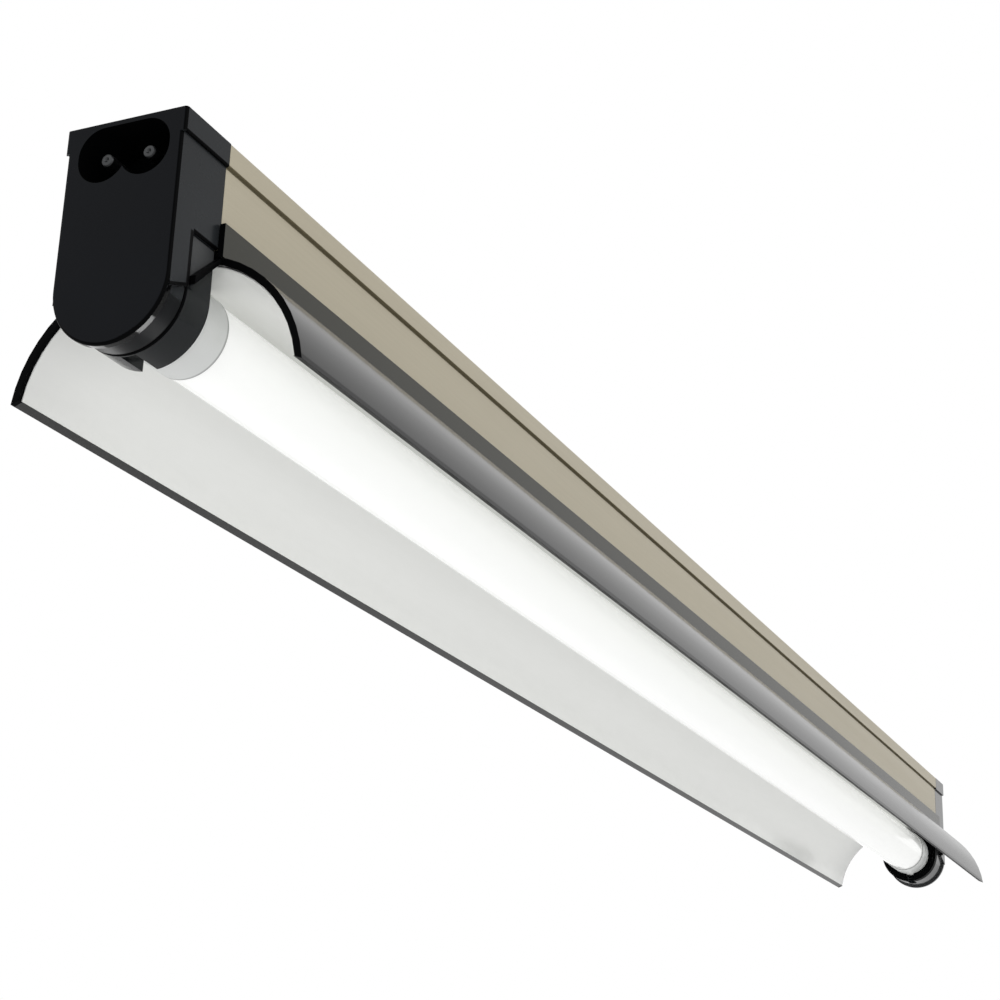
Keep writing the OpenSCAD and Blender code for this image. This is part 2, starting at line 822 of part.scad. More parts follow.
module input_terminal() { color("seagreen") terminal(terminal_x); }
module output_terminal() { color("seagreen") terminal(output_x); }

// Glass body between two metal caps
module input_fuse() {
    r = fuse_d / 2;
    end_l = fuse_l / 4;
    color("lightgray") {
        rod_x(fuse_x + lap, fuse_x + fuse_l - lap, r - 0.3, 0, board_top + r);
        for (x = [fuse_x, fuse_x + fuse_l - end_l]) rod_x(x, x + end_l, r, 0, board_top + r);
    }
}

// Core with a window above and below its middle leg
module e_core(x, l) {
    mid = board_top + core_h / 2;
    difference() {
        block([x, -core_w / 2, board_top], [x + l, core_w / 2, board_top + core_h]);
        block([x + core_leg, -core_w / 2 - over, board_top + core_flange],
            [x + l - core_leg, core_w / 2 + over, mid - core_mid / 2]);
        block([x + core_leg, -core_w / 2 - over, mid + core_mid / 2],
            [x + l - core_leg, core_w / 2 + over, board_top + core_h - core_flange]);
    }
}

// Winding round the middle leg, in the windows of the core
module winding(x, l) {
    mid = board_top + core_h / 2;
    y = core_w / 2 + winding_bulge;
    leg_y = core_w / 2 + blade_gap;
    leg_z = core_mid / 2 + blade_gap;
    difference() {
        block([x + core_leg + blade_gap, -y, board_top + core_flange + blade_gap],
            [x + l - core_leg - blade_gap, y, board_top + core_h - core_flange - blade_gap]);
        block([x, -leg_y, mid - leg_z], [x + l, leg_y, mid + leg_z]);
    }
}

module choke_core() { color(ferrite) e_core(choke_x, choke_l); }
module choke_winding() { color(copper) winding(choke_x, choke_l); }
module inductor_core() { color(ferrite) e_core(inductor_x, inductor_l); }
module inductor_winding() { color(copper) winding(inductor_x, inductor_l); }

module rectifier_diodes() {
    y = diode_l / 2 + wire_gap;
    color("dimgray") for (i = [0, 1], side = [-1, 1])
        translate([diode_x + diode_pitch * (i + 0.5), side * y, board_top + diode_d / 2])
            rotate([90, 0, 0]) cylinder(h = diode_l, d = diode_d, center = true, $fn = 32);
}

// Lying can with a groove near its sealed end
module bulk_capacitor() {
    r = bulk_d / 2;
    color("midnightblue") difference() {
        rod_x(bulk_x, bulk_x + bulk_l, r, 0, board_top + r, 64);
        translate([bulk_x + 2, 0, board_top + r]) rotate([0, 90, 0])
            rotate_extrude($fn = 64) translate([r + 0.2, 0]) circle(0.6, $fn = 24);
    }
}

// Upright plate with the two transistors against it
module heat_sink() {
    color("silver") block([sink_x, -sink_t, board_top],
        [sink_x + sink_l, 0, board_top + sink_h]);
}

module power_transistors() {
    color(black)
        for (x = [sink_x + edge_gap, sink_x + sink_l - edge_gap - transistor_w])
            block([x, 0, board_top], [x + transistor_w, transistor_t, board_top + transistor_h]);
}

module ring_transformer() {
    r = ring_section / 2;
    color(copper) translate([ring_x + ring_d / 2, 0, board_top + r])
        rotate_extrude($fn = 64) translate([ring_d / 2 - r, 0]) circle(r, $fn = 32);
}

module film_capacitors() {
    color("firebrick") for (i = [0:film_cap_count - 1])
        block([film_x + i * film_pitch, -film_cap_w / 2, board_top],
            [film_x + i * film_pitch + film_cap_l, film_cap_w / 2, board_top + film_cap_h]);
}

// Wires. Each pair is drawn for both sides of the middle plane. The numbers are
// how far the wires run straight before and after they bend.

module mains_wires() {
    start_x = -light_l / 2 + tail_x + tail_l;
    y = inlet_gap / 2;
    color("sienna") for (side = [-1, 1]) wire(rounded_path([
        [start_x, side * y, inlet_z],
        [start_x + 10, side * y, inlet_z],
        [terminal_x - 12, side * wire_in, wire_z],
        [terminal_x, side * wire_in, wire_z]], 4));
}

// From the input terminal's back, past the parts on the board, to the outlet
module link_wires() {
    start_x = terminal_x + terminal_l;
    end_x = light_l / 2 - tail_x - tail_l;
    y = inlet_gap / 2;
    color("royalblue") for (side = [-1, 1]) wire(rounded_path([
        [start_x, side * wire_in, wire_z - 2],
        [start_x + 2.5, side * wire_in, wire_z - 2],
        [start_x + 9, side * lane_y, link_lane_z],
        [board_x1 + 8, side * lane_y, link_lane_z],
        [end_x - 12, side * y, inlet_z],
        [end_x, side * y, inlet_z]], 2));
}

// Path from a crimp up and through the end cap's duct, at the near end
function duct_path(side) = [
    [-light_l / 2 + crimp_x, side * crimp_y, crimp_top],
    [-light_l / 2 + crimp_x, side * crimp_y, duct_z],
    [-light_l / 2 + plug_end_x + 2, side * crimp_y, duct_z]];

// The same at the far end, from the duct to the crimp
function far_duct_path(side) = let (p = duct_path(side))
    [for (i = [2, 1, 0]) [-p[i][0], p[i][1], p[i][2]]];

module near_lamp_wires() {
    color("gold") for (side = [-1, 1]) wire(rounded_path(concat(duct_path(side), [
        [-light_l / 2 + plug_end_x + 14, side * lane_y, lamp_lane_z],
        [output_end_x + 3, side * lane_y, lamp_lane_z],
        [output_end_x + 5, side * wire_in, wire_z + 2],
        [output_end_x, side * wire_in, wire_z + 2]]), 2));
}

module far_lamp_wires() {
    color("tomato") for (side = [-1, 1]) wire(rounded_path(concat([
        [output_end_x, side * wire_out, wire_z - 2],
        [output_end_x + 10, side * wire_out, wire_z - 2]],
        far_duct_path(side)), 2));
}

housing_channel();
bottom_cover();
insulating_sheet();
end_cap_screws();
inlet_end_cap();
link_end_cap();
inlet_pins();
link_sleeves();
near_lampholder();
far_lampholder();
near_contacts();
far_contacts();
near_rotor();
far_rotor();
lamp_tube();
near_lamp_base();
far_lamp_base();
near_base_disc();
far_base_disc();
near_lamp_pins();
far_lamp_pins();
near_lamp_stem();
far_lamp_stem();
near_filament();
far_filament();
reflector_shell();
reflector_film();
ballast_board();
input_terminal();
output_terminal();
input_fuse();
choke_core();
choke_winding();
rectifier_diodes();
bulk_capacitor();
heat_sink();
power_transistors();
ring_transformer();
inductor_core();
inductor_winding();
film_capacitors();
mains_wires();
link_wires();
near_lamp_wires();
far_lamp_wires();
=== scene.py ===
import json
import math

import bmesh
import bpy
from mathutils import Matrix, Vector

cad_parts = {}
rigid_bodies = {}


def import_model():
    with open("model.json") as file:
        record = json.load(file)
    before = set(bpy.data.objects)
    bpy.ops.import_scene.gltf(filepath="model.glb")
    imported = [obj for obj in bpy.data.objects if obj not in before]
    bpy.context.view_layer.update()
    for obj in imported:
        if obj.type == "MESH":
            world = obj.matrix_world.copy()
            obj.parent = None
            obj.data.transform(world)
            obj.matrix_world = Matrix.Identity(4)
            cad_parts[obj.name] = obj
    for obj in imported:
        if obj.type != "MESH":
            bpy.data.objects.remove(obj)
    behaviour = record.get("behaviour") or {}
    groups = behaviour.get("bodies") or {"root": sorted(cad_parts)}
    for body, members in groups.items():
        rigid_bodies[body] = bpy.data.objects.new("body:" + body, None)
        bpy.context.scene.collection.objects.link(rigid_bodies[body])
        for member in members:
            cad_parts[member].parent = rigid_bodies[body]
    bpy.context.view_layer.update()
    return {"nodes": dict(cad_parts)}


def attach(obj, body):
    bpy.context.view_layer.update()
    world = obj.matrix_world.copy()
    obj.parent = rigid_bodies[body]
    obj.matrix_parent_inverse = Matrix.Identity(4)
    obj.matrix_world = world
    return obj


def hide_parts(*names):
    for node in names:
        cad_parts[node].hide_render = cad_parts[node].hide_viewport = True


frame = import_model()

MM = 0.001


# Places, in millimetres. Those with _X in their names count inward from the outer face
# of the nearer end, and every other place is in the frame's own axes.

def corners(node):
    """The lowest and the highest corner of a CAD node's box."""
    points = [v.co / MM for v in frame["nodes"][node].data.vertices]
    return [[round(end(point[axis] for point in points), 2) for axis in range(3)]
            for end in (min, max)]


def middle(low, high):
    return round((low + high) / 2, 2)


# Housing and caps: outer ends, sides of the rail, underside, the groove under the rail with
# its painted shade, underside of the caps' flange, and on a cap the radius of the front
# plate's edge, the plate's thickness, the flat sides and where painted shade on the rear of a
# side starts
HALF_L, RAIL_Y = corners("link_end_cap")[1][:2]
BODY_Z = corners("housing_channel")[0][2]
GROOVE_Z, GROOVE_HALF, FLANGE_Z = -4.45, 0.30, -4.6
EDGE_R, PLATE_T, SIDE_Y, REAR_X = 0.6, 1.6, 11.7, 5.2

# Lampholders: outer face, radius, and where the far one's side turns from painted light to
# painted shade
HOLDER_X, HOLDER_R = HALF_L - corners("far_lampholder")[1][0], corners("far_lampholder")[1][1]
MOUTH_X = 11.3

# Lamp: axis, both ends and outside of a base, its hole for the disc and its inside
tube, base = corners("lamp_tube"), corners("far_lamp_base")
AXIS_Z = middle(tube[0][2], tube[1][2])
BASE_X0, BASE_X1 = HALF_L - base[1][0], HALF_L - base[0][0]
BASE_R = middle(-base[0][2], base[1][2])
WINDOW_R, GLASS_R = 5.7, 7.93

# Inlet: its two pins with their collars and tails, and the box round its recess
pins = corners("inlet_pins")
INLET_Z, COLLAR_R = middle(pins[0][2], pins[1][2]), middle(-pins[0][2], pins[1][2])
INLET_Y = round(pins[1][1] - COLLAR_R, 2)
TIP_X, PIN_END_X = HALF_L + pins[0][0], HALF_L + pins[1][0]
PIN_R, COLLAR_X, TAIL_X, TAIL_R = 1.2, 11.5, 13.0, 0.9
RECESS_Y, RECESS_LOW, RECESS_HIGH, RECESS_X = 9.5, -11.7, -0.8, 12.0

# Reflector: the film's end, the shell's end beyond it, outer edge of the lips, top of the
# clip walls, bare borders, the band of painted shade along the lips, web, and where the
# trough's sides start
FILM_END = corners("reflector_film")[1][0]
SHELL_END = FILM_END + 1.0
LIP_Y, CLIP_Z = corners("reflector_shell")[1][1:]
BORDER_Y, BORDER_Z, BAND_Z = 27.789, -42.7, -42.4
WEB_Z, TROUGH_Z = -22.3, -24.0

# A ledge slopes down the cap's side, with a line of painted shade along it, and the hook
# crosses the lampholder's side on a slant, with painted light on the side above it: where
# each starts, how far it climbs for each millimetre inward, and how wide the line is
LEDGE_X, LEDGE_Z, LEDGE_RISE, LINE_W = 0.6, -33.3, 2.3 / 5.9, 0.7
HOOK_X, HOOK_Z, HOOK_RISE = 6.8, -29.6, 6.9 / 7.6


# Materials

def new_material(name):
    mat = bpy.data.materials.new(name)
    mat.use_nodes = True
    tree = mat.node_tree
    at = tree.nodes.new("ShaderNodeTexCoord").outputs["Object"]
    return mat, tree, tree.nodes["Principled BSDF"], at


def stretched(tree, vector, scale):
    """The coordinates times scale, for a grain that runs along one axis."""
    mapping = tree.nodes.new("ShaderNodeMapping")
    mapping.inputs["Scale"].default_value = scale
    tree.links.new(vector, mapping.inputs["Vector"])
    return mapping.outputs["Vector"]


def noise(tree, vector, scale, detail=4.0, roughness=0.55):
    node = tree.nodes.new("ShaderNodeTexNoise")
    node.inputs["Scale"].default_value = scale
    node.inputs["Detail"].default_value = detail
    node.inputs["Roughness"].default_value = roughness
    tree.links.new(vector, node.inputs["Vector"])
    return node.outputs["Fac"]


def ramp(tree, value, stops):
    """A colour ramp with (place, colour) stops; a grey may be one number."""
    node = tree.nodes.new("ShaderNodeValToRGB")
    band = node.color_ramp
    while len(band.elements) < len(stops):
        band.elements.new(0.5)
    for element, (place, colour) in zip(band.elements, stops):
        element.position = place
        if isinstance(colour, (int, float)):
            colour = (colour, colour, colour)
        element.color = (*colour, 1.0)
    tree.links.new(value, node.inputs["Fac"])
    return node.outputs["Color"]


def blend(tree, fac, a, b, mode="MIX"):
    """Mixes two colours; each of fac, a and b is a socket or a value."""
    node = tree.nodes.new("ShaderNodeMix")
    node.data_type = "RGBA"
    node.blend_type = mode
    for socket, value in ((node.inputs[0], fac), (node.inputs[6], a), (node.inputs[7], b)):
        if isinstance(value, bpy.types.NodeSocket):
            tree.links.new(value, socket)
        elif isinstance(value, (int, float)):
            socket.default_value = value
        else:
            socket.default_value = (*value, 1.0)
    return node.outputs[2]


def maths(tree, operation, *values):
    node = tree.nodes.new("ShaderNodeMath")
    node.operation = operation
    for socket, value in zip(node.inputs, values):
        if isinstance(value, (int, float)):
            socket.default_value = value
        else:
            tree.links.new(value, socket)
    return node.outputs[0]


def axis_of(tree, vector, index):
    split = tree.nodes.new("ShaderNodeSeparateXYZ")
    tree.links.new(vector, split.inputs[0])
    return split.outputs[index]


def bump(tree, shader, height, distance):
    node = tree.nodes.new("ShaderNodeBump")
    node.inputs["Distance"].default_value = distance
    tree.links.new(height, node.inputs["Height"])
    tree.links.new(node.outputs["Normal"], shader.inputs["Normal"])


def shade(colour, k):
    """The colour, lighter or darker by the factor k."""
    return tuple(min(1.0, v * k) for v in colour)


def surface(name, colour, rough, spread=0.06, metallic=0.0, grain=900.0, bumps=0.00001,
            stretch=(1, 1, 1), patch=18.0, ior=1.5):
    """A moulded, painted or metal surface: cloudy colour, uneven gloss and fine grain."""
    mat, tree, shader, at = new_material(name)
    shader.inputs["Metallic"].default_value = metallic
    shader.inputs["IOR"].default_value = ior
    along = stretched(tree, at, stretch)
    fine = noise(tree, along, grain, 3.0)
    base = ramp(tree, noise(tree, along, patch, 5.0),
                [(0.3, shade(colour, 1 - spread)), (0.7, shade(colour, 1 + spread))])
    speckle = ramp(tree, fine, [(0.3, 0.35), (0.7, 0.65)])
    tree.links.new(blend(tree, 0.12, base, speckle, "OVERLAY"), shader.inputs["Base Color"])
    tree.links.new(ramp(tree, noise(tree, along, patch * 4, 6.0),
                        [(0.3, rough * 0.85), (0.7, rough * 1.2)]), shader.inputs["Roughness"])
    bump(tree, shader, fine, bumps)
    return mat


def grooved_paint():
    """Satin beige paint on an extrusion: fine lines along it and painted shade in the groove.
    """
    mat, tree, shader, at = new_material("housing_paint")
    along = stretched(tree, at, (0.02, 1, 1))
    lines = noise(tree, along, 2600.0, 3.0)
    base = ramp(tree, noise(tree, stretched(tree, at, (0.3, 1, 1)), 22.0, 5.0),
                [(0.3, (0.375, 0.336, 0.246)), (0.7, (0.405, 0.363, 0.268))])
    base = blend(tree, 0.10, base, ramp(tree, lines, [(0.3, 0.38), (0.7, 0.62)]), "OVERLAY")
    # Painted shade: the groove under the rail is coloured dark olive where its shade falls
    depth = maths(tree, "ABSOLUTE", maths(tree, "SUBTRACT", axis_of(tree, at, 2),
                                          GROOVE_Z * MM))
    groove_shade_mask = maths(tree, "LESS_THAN", depth, GROOVE_HALF * MM)
    tree.links.new(blend(tree, groove_shade_mask, base, (0.185, 0.160, 0.100)),
                   shader.inputs["Base Color"])
    tree.links.new(ramp(tree, noise(tree, along, 90.0, 5.0), [(0.3, 0.34), (0.7, 0.48)]),
                   shader.inputs["Roughness"])
    shader.inputs["IOR"].default_value = 1.42
    bump(tree, shader, lines, 0.000008)
    return mat


def lamp_glass():
    """White phosphor behind clear glass, faintly aglow and greyer at the very ends."""
    mat, tree, shader, at = new_material("lamp_glass")
    reach = maths(tree, "DIVIDE", maths(tree, "ABSOLUTE", axis_of(tree, at, 0)), HALF_L * MM)
    ends = ramp(tree, reach, [(0.8956, (0.800, 0.810, 0.800)),
                              (0.9211, (0.745, 0.750, 0.745))])
    cloud = ramp(tree, noise(tree, at, 60.0), [(0.3, 0.48), (0.7, 0.52)])
    tree.links.new(blend(tree, 0.3, ends, cloud, "OVERLAY"), shader.inputs["Base Color"])
    tree.links.new(ramp(tree, noise(tree, at, 200.0), [(0.3, 0.10), (0.7, 0.16)]),
                   shader.inputs["Roughness"])
    shader.inputs["Coat Weight"].default_value = 0.6
    shader.inputs["Coat Roughness"].default_value = 0.03
    shader.inputs["Emission Color"].default_value = (1.0, 1.0, 0.98, 1.0)
    shader.inputs["Emission Strength"].default_value = 0.28
    bump(tree, shader, noise(tree, at, 320.0), 0.000003)
    return mat


def drawn_base():
    """Brushed aluminium of the lamp's bases, with painted shade along the rolled edge at the
    glass.
    """
    mat = surface("base_aluminium", (0.72, 0.732, 0.722), 0.42, 0.04, metallic=0.45,
                  grain=2600, stretch=(3, 1, 1))
    tree = mat.node_tree
    shader = tree.nodes["Principled BSDF"]
    at = tree.nodes["Texture Coordinate"].outputs["Object"]
    brushed = shader.inputs["Base Color"].links[0].from_socket
    edge = (HALF_L - BASE_X1) * MM
    # Painted shade: the shell is darkened for 1.2 mm past the rolled edge, where it meets the
    # glass
    past = maths(tree, "SUBTRACT", maths(tree, "ABSOLUTE", axis_of(tree, at, 0)), edge)
    near = ramp(tree, maths(tree, "DIVIDE", past, 1.2 * MM), [(0.25, 0.55), (0.55, 1.0)])
    tree.links.new(blend(tree, 1.0, brushed, near, "MULTIPLY"), shader.inputs["Base Color"])
    return mat


def clear_glass(name, tint):
    """Thin clear glass with faint streaks, for the fuse and the lamp's stems."""
    mat, tree, shader, at = new_material(name)
    streaks = noise(tree, stretched(tree, at, (0.2, 1, 1)), 500.0)
    tree.links.new(ramp(tree, streaks, [(0.3, shade(tint, 0.94)), (0.7, tint)]),
                   shader.inputs["Base Color"])
    tree.links.new(ramp(tree, streaks, [(0.3, 0.02), (0.7, 0.07)]),
                   shader.inputs["Roughness"])
    shader.inputs["Transmission Weight"].default_value = 0.85
    shader.inputs["IOR"].default_value = 1.5
    bump(tree, shader, streaks, 0.000002)
    return mat


def wound_copper():
    """Enamelled wire wound side by side: painted shade in dark lines between turns, each turn
    round.
    """
    mat, tree, shader, at = new_material("winding_copper")
    copper, pitch = (0.50, 0.17, 0.05), 0.5 * MM
    turns = maths(tree, "FRACT", maths(tree, "DIVIDE", axis_of(tree, at, 0), pitch))
    across = maths(tree, "PINGPONG", turns, 0.5)
    # Painted shade: the copper is darkened to a quarter in the gaps between turns
    turns_and_painted_gaps = ramp(tree, across, [(0.02, shade(copper, 0.25)), (0.22, copper)])
    cloud = ramp(tree, noise(tree, at, 400.0), [(0.3, 0.42), (0.7, 0.58)])
    tree.links.new(blend(tree, 0.5, turns_and_painted_gaps, cloud, "OVERLAY"), shader.inputs["Base Color"])
    tree.links.new(ramp(tree, noise(tree, at, 900.0), [(0.3, 0.22), (0.7, 0.34)]),
                   shader.inputs["Roughness"])
    shader.inputs["Metallic"].default_value = 0.6
    bump(tree, shader, across, pitch * 0.4)
    return mat


MOULD = dict(spread=0.25, grain=2200, bumps=0.000005)
METAL = dict(spread=0.08, metallic=1.0, grain=3500, bumps=0.000004)
FINISHES = {
    "housing": grooved_paint(),
    "cover": surface("cover_paint", (0.66, 0.66, 0.64), 0.4, 0.04, stretch=(0.1, 1, 1)),
    "liner": surface("liner_board", (0.76, 0.72, 0.60), 0.75, 0.06, grain=1800),
    "screw": surface("screw_zinc", (0.62, 0.63, 0.65), 0.28, **METAL),
    "cap": surface("cap_moulding", (0.0165, 0.0185, 0.0205), 0.26, ior=1.175, **MOULD),
    "inlet_pin": surface("pin_nickel", (0.068, 0.070, 0.072), 0.34, **METAL),
    "sleeve": surface("sleeve_brass", (0.66, 0.49, 0.22), 0.3, **METAL),
    "holder": surface("holder_moulding", (0.0035, 0.0050, 0.0060), 0.15, ior=1.30, **MOULD),
    "contact": surface("contact_brass", (0.70, 0.53, 0.25), 0.3, **METAL),
    "rotor": surface("rotor_moulding", (0.78, 0.78, 0.76), 0.35, 0.04, grain=2200),
    "lamp": lamp_glass(),
    "lamp_base": drawn_base(),
    "base_disc": surface("base_disc_moulding", (0.78, 0.75, 0.66), 0.5, 0.05, grain=2200),
    "lamp_pin": surface("lamp_pin_brass", (0.72, 0.57, 0.30), 0.26, **METAL),
    "stem": clear_glass("stem_glass", (0.90, 0.96, 0.96)),
    "filament": surface("filament_oxide", (0.30, 0.30, 0.31), 0.6, 0.2, metallic=0.5),
    "reflector": surface("reflector_black", (0.006, 0.006, 0.0055), 0.17, 0.25, grain=1200,
                         bumps=0.000004, stretch=(0.08, 1, 1), ior=1.37),
    "film": surface("reflector_white", (0.84, 0.845, 0.825), 0.15, 0.02, grain=700,
                    bumps=0.000002, stretch=(0.15, 1, 1), patch=9.0),
    "board": surface("board_laminate", (0.36, 0.20, 0.07), 0.5, 0.18, grain=1500),
    "terminal": surface("terminal_green", (0.02, 0.20, 0.08), 0.35, 0.08, grain=2200),
    "fuse": clear_glass("fuse_glass", (0.93, 0.96, 0.95)),
    "ferrite": surface("ferrite_grey", (0.025, 0.025, 0.028), 0.6, 0.2, grain=1500),
    "winding": wound_copper(),
    "diode": surface("diode_epoxy", (0.012, 0.012, 0.013), 0.4, **MOULD),
    "capacitor_can": surface("can_sleeve", (0.015, 0.022, 0.07), 0.22, 0.1, grain=900),
    "heat_sink": surface("sink_aluminium", (0.60, 0.61, 0.63), 0.4, 0.06, metallic=1.0,
                         grain=1800, stretch=(0.05, 1, 1)),
    "transistor": surface("transistor_epoxy", (0.012, 0.012, 0.012), 0.45, **MOULD),
    "film_capacitor": surface("capacitor_dip", (0.32, 0.025, 0.015), 0.25, 0.12, patch=120),
    "mains_wire": surface("wire_brown", (0.17, 0.055, 0.015), 0.4, 0.1, grain=1500),
    "link_wire": surface("wire_blue", (0.015, 0.065, 0.32), 0.4, 0.1, grain=1500),
    "near_wire": surface("wire_yellow", (0.66, 0.42, 0.03), 0.4, 0.1, grain=1500),
    "far_wire": surface("wire_red", (0.45, 0.02, 0.015), 0.4, 0.1, grain=1500),
}

# Copies of the mouldings' blacks that paint light and shade: each darker or lighter than
# the moulding's own black, for faces and edges of one moulding
# Painted shade: a darker, matte copy of the black for roundings, recesses, cut ends and lines
# where shade falls
shading_black = surface("rounded_edge_painted_shade_black", (0.0015, 0.0016, 0.0018), 0.35, 0.25,
                     grain=2600, bumps=0.000004, ior=1.08)
# Painted shade: a darker copy of the cap's black on the front plate's face
shaded_plate_black = surface("front_plate_painted_shade_black", (0.0020, 0.0027, 0.0042), 0.30, 0.25,
                      grain=1400, bumps=0.000006, ior=1.175)
# Painted shade: a darker, glossier copy of the cap's black on the front plate's rim
shaded_rim_black = surface("plate_rim_painted_shade_black", (0.0014, 0.0015, 0.0018), 0.08, 0.25, ior=1.26)
# Painted shade: a darker copy of the cap's black on the ring that carries the lampholder
shaded_ring_black = surface("cap_ring_painted_shade_black", (0.0024, 0.0030, 0.0040), 0.30, 0.25, grain=2000,
                     bumps=0.000004, ior=1.20)
# Painted light: a much lighter copy of the lampholder's black on its flat sides above the
# hooks
lit_side_black = surface("lampholder_painted_light_black", (0.052, 0.054, 0.055), 0.45, 0.15,
                     grain=2200, bumps=0.000005, ior=1.22)
# Painted light and shade: a darker, more reflective copy of the reflector's black on the left
# lip only
painted_lip_black = surface("left_lip_painted_black", (0.003, 0.003, 0.003), 0.20, 0.2,
                    stretch=(0.05, 1, 1), ior=1.48)
# Painted shade: a darker copy of the reflector's black on the band along the outside of the
# lips
shaded_band_black = surface("lip_band_painted_shade_black", (0.004, 0.004, 0.004), 0.20, 0.2,
                     stretch=(0.05, 1, 1), ior=1.22)
# Painted light: a lighter, glossier copy of the black for the far cap's sides and the far
# lampholder's side
lit_far_black = surface("far_painted_light_black", (0.020, 0.021, 0.022), 0.12, 0.2,
                     grain=2200, bumps=0.000005, ior=1.50)
# Painted light: a lighter, warmer copy of the reflector's black on the clip walls, warm in its
# reflections too
lit_clip_black = surface("clip_wall_painted_light_black", (0.0115, 0.0112, 0.006), 0.20, 0.25, grain=1200,
                     bumps=0.000004, stretch=(0.08, 1, 1), ior=1.335)
lit_clip_black.node_tree.nodes["Principled BSDF"].inputs["Specular Tint"].default_value = (
    1.0, 0.99, 0.90, 1.0)

SLOT_NODES = {
    "housing": ["housing_channel"], "cover": ["bottom_cover"],
    "liner": ["insulating_sheet"], "screw": ["end_cap_screws"],
    "cap": ["inlet_end_cap", "link_end_cap"], "inlet_pin": ["inlet_pins"],
    "sleeve": ["link_sleeves"], "holder": ["near_lampholder", "far_lampholder"],
    "contact": ["near_contacts", "far_contacts"], "rotor": ["near_rotor", "far_rotor"],
    "lamp": ["lamp_tube"], "lamp_base": ["near_lamp_base", "far_lamp_base"],
    "base_disc": ["near_base_disc", "far_base_disc"],
    "lamp_pin": ["near_lamp_pins", "far_lamp_pins"],
    "stem": ["near_lamp_stem", "far_lamp_stem"],
    "filament": ["near_filament", "far_filament"],
    "reflector": ["reflector_shell"], "film": ["reflector_film"],
    "board": ["ballast_board"], "terminal": ["input_terminal", "output_terminal"],
    "fuse": ["input_fuse"], "ferrite": ["choke_core", "inductor_core"],
    "winding": ["choke_winding", "inductor_winding", "ring_transformer"],
    "diode": ["rectifier_diodes"], "capacitor_can": ["bulk_capacitor"],
    "heat_sink": ["heat_sink"], "transistor": ["power_transistors"],
    "film_capacitor": ["film_capacitors"], "mains_wire": ["mains_wires"],
    "link_wire": ["link_wires"], "near_wire": ["near_lamp_wires"],
    "far_wire": ["far_lamp_wires"],
}
for slot_name, names in SLOT_NODES.items():
    for name in names:
        mesh = frame["nodes"][name].data
        mesh.materials.clear()
        mesh.materials.append(FINISHES[slot_name])


# Meshes

SHARP, FLAT = math.radians(28), math.radians(0.5)
CURVE, STRIP = math.cos(math.radians(13)), math.cos(math.radians(32))


def finish_mesh(bm, name, slot_name, body, nodes, extra=(), strips=None):
    """Makes the piece. Facets that meet at a small angle are shaded as one curve, and
    the narrow strips of a rounding blend into the large faces beside them. Finish 0 is
    the slot's own, and the others are in extra."""
    bmesh.ops.recalc_face_normals(bm, faces=bm.faces)
    bm.normal_update()
    normals = []
    for face in bm.faces:
        limit = STRIP if strips is None or face[strips] else CURVE
        for loop in face.loops:
            total = sum((other.normal * other.calc_area() for other in loop.vert.link_faces
                         if other.normal.dot(face.normal) > limit), Vector())
            normals.append((total if total.length > 0 else face.normal).normalized())
    mesh = bpy.data.meshes.new(name)
    bm.to_mesh(mesh)
    bm.free()
    for mat in (FINISHES[slot_name], *extra):
        mesh.materials.append(mat)
    mesh.polygons.foreach_set("use_smooth", [True] * len(mesh.polygons))
    mesh.normals_split_custom_set(normals)
    obj = bpy.data.objects.new(name, mesh)
    bpy.context.collection.objects.link(obj)
    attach(obj, body)
    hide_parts(*nodes)
    return obj


# The radius of the wide roundings, and how many times its own radius a rounding needs
# in every edge that it meets. Corners and faces are put in order along a line on which
# no two of them share a place.
WIDE_R, ROOM = 0.5, 2.1
ORDER = (1.0, 0.618, 0.382)


def rounded(node, slot_name, body, width, extra=(), edge=0, sort=None, wide=None, cuts=(),
            move=None):
    """The CAD node with its sharp edges rounded, as a moulding or pressing has them.
    Roundings get the finish of index edge, and sort(place, normal) may name another for
    a face. The edges that wide(place) picks are rounded by more. Each (place, direction)
    in cuts is a plane that splits faces, and move(place) puts a corner elsewhere first."""
    bm = bmesh.new()
    bm.from_mesh(frame["nodes"][node].data)
    if move:
        for v in bm.verts:
            v.co = move(v.co / MM) * MM
    bmesh.ops.remove_doubles(bm, verts=bm.verts, dist=1e-6)
    bmesh.ops.dissolve_limit(bm, angle_limit=FLAT, verts=bm.verts, edges=bm.edges,
                             use_dissolve_boundaries=False)
    strips = bm.faces.layers.int.new("strips")

    def is_sharp(e):
        return len(e.link_faces) == 2 and e.calc_face_angle(0) > SHARP

    def bevel(edges, by, segments, clamp):
        made = bmesh.ops.bevel(bm, geom=edges, offset=by * MM, segments=segments,
                               profile=0.5, affect="EDGES", clamp_overlap=clamp,
                               material=edge)
        for face in made["faces"]:
            face[strips] = 1

    if wide:
        bevel([e for e in bm.edges if is_sharp(e) and all(wide(v.co / MM) for v in e.verts)],
              WIDE_R, 3, False)
    roomy = {v: all(e.calc_length() > ROOM * width * MM for e in v.link_edges)
             for v in bm.verts}
    bevel([e for e in bm.edges if is_sharp(e) and all(roomy[v] for v in e.verts)],
          width, 2, True)
    for place, direction in cuts:
        bmesh.ops.bisect_plane(bm, geom=bm.verts[:] + bm.edges[:] + bm.faces[:],
                               plane_co=Vector(place) * MM, plane_no=direction)
    if cuts:  # A cut leaves its new corners and faces in an order that differs by run
        bm.verts.sort(key=lambda v: v.co.dot(ORDER))
        bm.faces.sort(key=lambda f: f.calc_center_median().dot(ORDER))
    if sort:
        bm.normal_update()
        for face in bm.faces:
            finish = sort(face.calc_center_median() / MM, face.normal)
            if finish is not None:
                face.material_index = finish
    return finish_mesh(bm, node + "_moulded", slot_name, body, [node], extra, strips)


